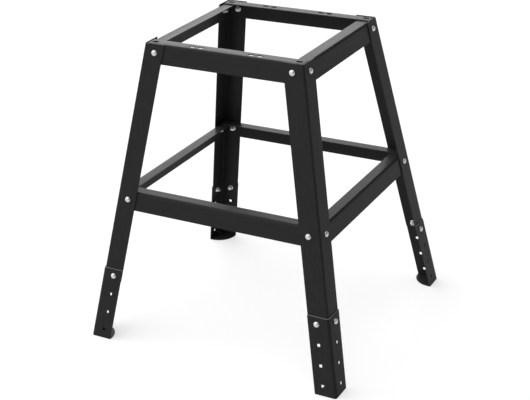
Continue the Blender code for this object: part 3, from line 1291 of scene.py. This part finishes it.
@dataclass(frozen=True)
class FlangeNut:
    """A hexagon nut with a flange, turned about the bolt's axis.

    Attributes:
        across: width over the flats.
        height: over everything.
        flange, flange_edge: diameter of the flange and thickness of its edge.
        cone: height of the flange's cone up to the flats.
        flare: how much wider the hexagon is where it runs into the cone, as a factor.
        bore: diameter inside the thread.
        lead: chamfer of the bore.
        chamfer: height of the chamfer at the far end, which slopes by 30 degrees.
        crown: radius of the far end, as a share of the flats' distance from the middle.
        soft: how far the edges of the flange and the foot of the flats are eased.
        chamfer_steps: rings on the far end's chamfer.
        sides: points round the nut.
    """

    across: float = 0.010
    height: float = 0.006
    flange: float = 0.0148
    flange_edge: float = 0.0008
    cone: float = 0.0018
    flare: float = 1.06
    bore: float = 0.0055
    lead: float = 0.00036
    chamfer: float = 0.0009
    crown: float = 0.96
    soft: float = 0.0002
    chamfer_steps: int = 5
    sides: int = 72

    def rings(self, seat: float) -> Array:
        """The nut as rings that come round on themselves: bore, seat, flange, flats, chamfer, bore.

        The flats' radius is that of a hexagon by the angle, and the chamfer takes the lesser of it
        and a cone.

        Args:
            seat: level of the face that the nut sits on.

        Returns:
            An array of rings of points about the bolt's axis.
        """
        angle = ring_angles(self.sides)
        sixth = math.pi / 3
        flats = self.across / 2 / np.cos((angle + sixth / 2) % sixth - sixth / 2)
        share = np.linspace(0.0, 1.0, self.chamfer_steps)
        cone = self.across / 2 * self.crown + share[::-1, None] * self.chamfer * math.sqrt(3.0)
        bore, flange = self.bore / 2, self.flange / 2
        edge, foot, end = seat - self.flange_edge, seat - self.cone, seat - self.height
        rows = [
            (bore, seat - self.lead),
            (bore + self.lead, seat),
            (flange - self.soft, seat),
            (flange, seat - self.soft),
            (flange, edge + self.soft),
            (flange - self.soft, edge),
            (flats * self.flare, foot + self.soft),
            (flats, foot - self.soft),
            *zip(np.minimum(flats, cone), end + self.chamfer * (1.0 - share)),
            (bore + self.lead, end),
            (bore, end + self.lead),
        ]
        radius = np.stack([np.broadcast_to(row[0], angle.shape) for row in rows])
        return turned_rings(radius, np.vstack([row[1] for row in rows]), angle)


@dataclass(frozen=True)
class BoltSet(Fitted):
    """The bolts and nuts of one leg.

    Attributes:
        corner: the leg's corner.
        bolt, nut: the fasteners.
        zinc: their finish.
        proud: bolt past the nut.
        crease: angle in degrees past which their edges stay sharp.
        turn_step: angle by which each nut is turned further than the one before it.
    """

    corner: Corner
    bolt: CupBolt = CupBolt()
    nut: FlangeNut = FlangeNut()
    zinc: ZincPlate = ZincPlate()
    proud: float = 0.003
    crease: float = 38.0
    turn_step: float = 0.7

    def seat(self, face: Face, z: float, lift: float) -> Matrix:
        """Frame of a bolt: Z straight out of the flange, Y up along the leg.

        Args:
            face: the flange's outer face.
            z: height of the bolt.
            lift: how far the sheet under its head lies outside the leg.

        Returns:
            The matrix from the bolt's own axes to the stand's.
        """
        side, end = self.corner.value
        slope_x, slope_y = self.lines.slope
        u, v = (self.plan.inset, 0.0) if face.is_end else (0.0, self.plan.inset)
        origin = Vector(self.lines.place(self.corner, u, v, z))
        outwards = Vector((0.0, 0.0, self.lines.slope[face.axis]))
        outwards[face.axis] = face.sign
        outwards.normalize()
        along = Vector((-side * slope_x, -end * slope_y, 1.0)) / self.lines.run
        matrix = Matrix((along.cross(outwards), along, outwards)).transposed().to_4x4()
        matrix.translation = origin + lift * outwards
        return matrix

    @staticmethod
    def set_on(matrix: Matrix, rings: Array) -> Array:
        """Move rings from a bolt's own axes onto the stand."""
        turned = np.array(matrix, float)
        return rings @ turned[:3, :3].T + turned[:3, 3]

    def add_bolt(self, name: str, matrix: Matrix, nodes: list[str]) -> None:
        """Build a whole bolt with its crown and its end closed.

        Args:
            name: the piece's name.
            matrix: the bolt's frame.
            nodes: the nodes that it stands for.
        """
        end = -2 * self.sheet.lap - self.nut.height - self.proud
        rings = self.bolt.rings(-self.sheet.thickness, end)
        tips = np.array([[0.0, 0.0, self.bolt.seat + self.bolt.rise], [0.0, 0.0, end]])
        skin = Surface.capped(self.set_on(matrix, rings), self.set_on(matrix, tips))
        add_piece(name, skin, FRAME_BODY, self.zinc, nodes, self.crease)

    def add_nut(self, name: str, matrix: Matrix, nodes: list[str]) -> None:
        """Build a nut against the second sheet.

        Args:
            name: the piece's name.
            matrix: the nut's frame.
            nodes: the nodes that it stands for.
        """
        rings = self.nut.rings(-2 * self.sheet.lap + self.sheet.gap)
        skin = Surface()
        ids = skin.add_points(self.set_on(matrix, rings))
        skin.join_rings(np.vstack([ids, ids[:1]]))
        add_piece(name, skin, FRAME_BODY, self.zinc, nodes, self.crease)

    def build(self) -> None:
        """Build the rails', the stretchers' and the extension's fasteners on both flanges.

        A row holds a bolt's kind, its height, the lift under its head, and the nodes that the
        bolt and the nut stand for.
        """
        rail, stretcher = (self.plan.cross_height(kind) for kind in ("top_rail", "stretcher"))
        extension, lap = self.plan.extension_height(), self.sheet.lap
        turn = 0.0
        for face in self.corner.faces():
            tail = f"{self.corner.label}_{face.label}"
            ends = [f"extension_bolt_head_{tail}", f"extension_bolt_end_{tail}"]
            rows = (
                ("rail", rail, 0.0, [f"rail_bolt_{tail}"], []),
                ("stretcher", stretcher, 0.0, [f"stretcher_bolt_{tail}"], [f"stretcher_nut_{tail}"]),
                ("extension", extension, lap, ends, []),
            )
            for kind, z, lift, bolt_nodes, nut_nodes in rows:
                matrix = self.seat(face, z, lift)
                turn += self.turn_step
                self.add_bolt(f"cup_bolt_{kind}_{tail}", matrix, bolt_nodes)
                turned = matrix @ Matrix.Rotation(turn, 4, "Z")
                self.add_nut(f"flange_nut_{kind}_{tail}", turned, nut_nodes)


@dataclass(frozen=True)
class Stand:
    """The whole stand.

    Attributes:
        rail_flange, stretcher_flange: widths of the flat flanges.
        slot_inner: inner slots from the middle of a rail.
        slot_spacing: from an inner slot to the outer one.
    """

    rail_flange: float = 0.030
    stretcher_flange: float = 0.028
    slot_inner: float = 0.061
    slot_spacing: float = 0.021

    def build(self) -> None:
        """Build the legs with their extensions and fasteners, then the rails and the stretchers."""
        lines, sheet, plan = LegLines.from_frame(), Sheet(), BoltPlan()
        for corner in Corner:
            for kind in (LegPiece, ExtensionPiece, BoltSet):
                kind(lines, sheet, plan, corner).build()
        for face in Face:
            slots = self.rail_slots(face, lines, sheet)
            CrossPiece(lines, sheet, plan, face, "top_rail", self.rail_flange, slots).build()
            CrossPiece(lines, sheet, plan, face, "stretcher", self.stretcher_flange).build()

    def rail_slots(self, face: Face, lines: LegLines, sheet: Sheet) -> tuple[float, ...]:
        """Places of a rail's slots along it: two pairs in an end rail, and one in each rail's corners.

        Args:
            face: the face that the rail lies behind.
            lines: the legs' lines.
            sheet: the rail's steel.

        Returns:
            The places, from the middle of the rail.
        """
        rail_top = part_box("top_rail_front")[1].z
        corner = lines.reach(face.length_axis, rail_top) - sheet.lap - self.rail_flange / 2
        inner = (self.slot_inner, self.slot_inner + self.slot_spacing) if face.is_end else ()
        return tuple(way * place for way in (-1, 1) for place in (*inner, corner))


@dataclass(frozen=True)
class Glow:
    """A soft patch of light in the studio's surroundings.

    Attributes:
        way: the direction that it lies in.
        inner, outer: angles in degrees from that direction, to where it is full and to where it ends.
        strength: its light in the middle.
    """

    way: Triple
    inner: float
    outer: float
    strength: float


@dataclass(frozen=True)
class Studio:
    """The camera, the floor and the light round the stand.

    Attributes:
        azimuth, elevation, roll: of the camera, in degrees.
        distance: of the camera from its target.
        target: the point that the camera looks at.
        lens, sensor: focal length and width of the sensor, in millimetres.
        floor_inner, floor_radius: radii of the floor's first ring of points and of its edge.
        floor_rings, floor_sides: number of its rings, and of the points in each.
        floor_colour, floor_roughness: of its paper.
        floor_glow: light that it gives off by itself, so that its shadow stays pale.
        dim: light of the surroundings outside the patches.
        glows: the patches of light, behind the stand, before it and at its left.
        sun_way, sun_strength, sun_angle: the wide soft lamp overhead.
    """

    azimuth: float = 28.466
    elevation: float = 24.607
    roll: float = -1.613
    distance: float = 2.9036
    target: Triple = (0.01618, -0.04402, 0.30510)
    lens: float = 85.18
    sensor: float = 36.0
    floor_inner: float = 0.5
    floor_radius: float = 40.0
    floor_rings: int = 8
    floor_sides: int = 96
    floor_colour: Triple = (0.40, 0.40, 0.40)
    floor_roughness: float = 0.9
    floor_glow: float = 0.60
    dim: float = 0.20
    glows: tuple[Glow, ...] = (
        Glow((-0.70, 0.70, 0.12), 20.0, 36.0, 4.30),
        Glow((-0.40, -0.90, 0.16), 8.0, 18.0, 2.40),
        Glow((-0.94, -0.15, 0.28), 17.0, 29.0, 2.3),
    )
    sun_way: Triple = (-0.35, -0.25, 0.9)
    sun_strength: float = 2.5
    sun_angle: float = 80.0

    def build(self) -> None:
        """Set up the camera, the floor and the light."""
        self.add_camera()
        self.add_floor()
        self.add_light()
        bpy.context.scene.view_settings.view_transform = "Standard"

    def add_camera(self) -> None:
        """Place the camera on its line to the target, and roll it about that line."""
        a, e = math.radians(self.azimuth), math.radians(self.elevation)
        back = Vector((math.sin(a) * math.cos(e), -math.cos(a) * math.cos(e), math.sin(e)))
        right = Vector((math.cos(a), math.sin(a), 0.0))
        level = Matrix((right, back.cross(right), back)).transposed().to_4x4()
        data = bpy.data.cameras.new("camera")
        data.lens = self.lens
        data.sensor_width = self.sensor
        camera = bpy.data.objects.new("camera", data)
        camera.matrix_world = level @ Matrix.Rotation(math.radians(self.roll), 4, "Z")
        camera.location = Vector(self.target) + back * self.distance
        bpy.context.scene.collection.objects.link(camera)
        bpy.context.scene.camera = camera

    def floor_paper(self) -> bpy.types.Material:
        """The floor's finish, which gives off the same light to the eye, to metal and to glass.

        Returns:
            The material.
        """
        paper = Graph(bpy.data.materials.new("floor_paper"))
        paper.shade("Base Color", self.floor_colour)
        paper.shade("Roughness", self.floor_roughness)
        paper.shade("Specular IOR Level", 0.0)
        ray = paper.add("ShaderNodeLightPath").outputs
        seen: Socket | float = 0.0
        for kind in ("Is Camera Ray", "Is Glossy Ray", "Is Transmission Ray"):
            inputs = {0: ray[kind], 1: self.floor_glow, 2: seen}
            seen = paper.add("ShaderNodeMath", inputs, operation="MULTIPLY_ADD").outputs["Value"]
        paper.shade("Emission Color", WHITE)
        paper.shade("Emission Strength", seen)
        return paper.owner

    def add_floor(self) -> None:
        """Lay the floor: a flat round disc about the middle, of rings of points that grow outwards."""
        radius = np.geomspace(self.floor_inner, self.floor_radius, self.floor_rings)[:, None]
        rings = turned_rings(radius, 0.0, ring_angles(self.floor_sides))
        disc = Surface.capped(rings, np.zeros((1, 3)))
        faces = disc.quads[0][:, ::-1].tolist() + disc.triangles[0][:, ::-1].tolist()
        mesh = bpy.data.meshes.new("floor")
        mesh.from_pydata(np.concatenate(disc.points).tolist(), [], faces)
        mesh.materials.append(self.floor_paper())
        floor = bpy.data.objects.new("floor", mesh)
        bpy.context.scene.collection.objects.link(floor)

    def add_light(self) -> None:
        """Dim surroundings with soft patches of light, and a wide lamp overhead."""
        studio = Graph(bpy.data.worlds.new("studio"))
        way = studio.add("ShaderNodeTexCoord").outputs["Generated"]
        studio.shade("Strength", studio.glowing(way, self.dim, self.glows))
        studio.shade("Color", WHITE)
        bpy.context.scene.world = studio.owner
        soft = bpy.data.lights.new("soft_lamp", "SUN")
        soft.energy = self.sun_strength
        soft.angle = math.radians(self.sun_angle)
        lamp = bpy.data.objects.new("soft_lamp", soft)
        lamp.rotation_mode = "QUATERNION"
        lamp.rotation_quaternion = Vector(self.sun_way).to_track_quat("Z", "Y")
        bpy.context.scene.collection.objects.link(lamp)


def main() -> None:
    """Build the stand and the studio."""
    logging.basicConfig(level=logging.INFO, format="%(name)s: %(message)s")
    Stand().build()
    Studio().build()


if __name__ == "__main__":
    main()
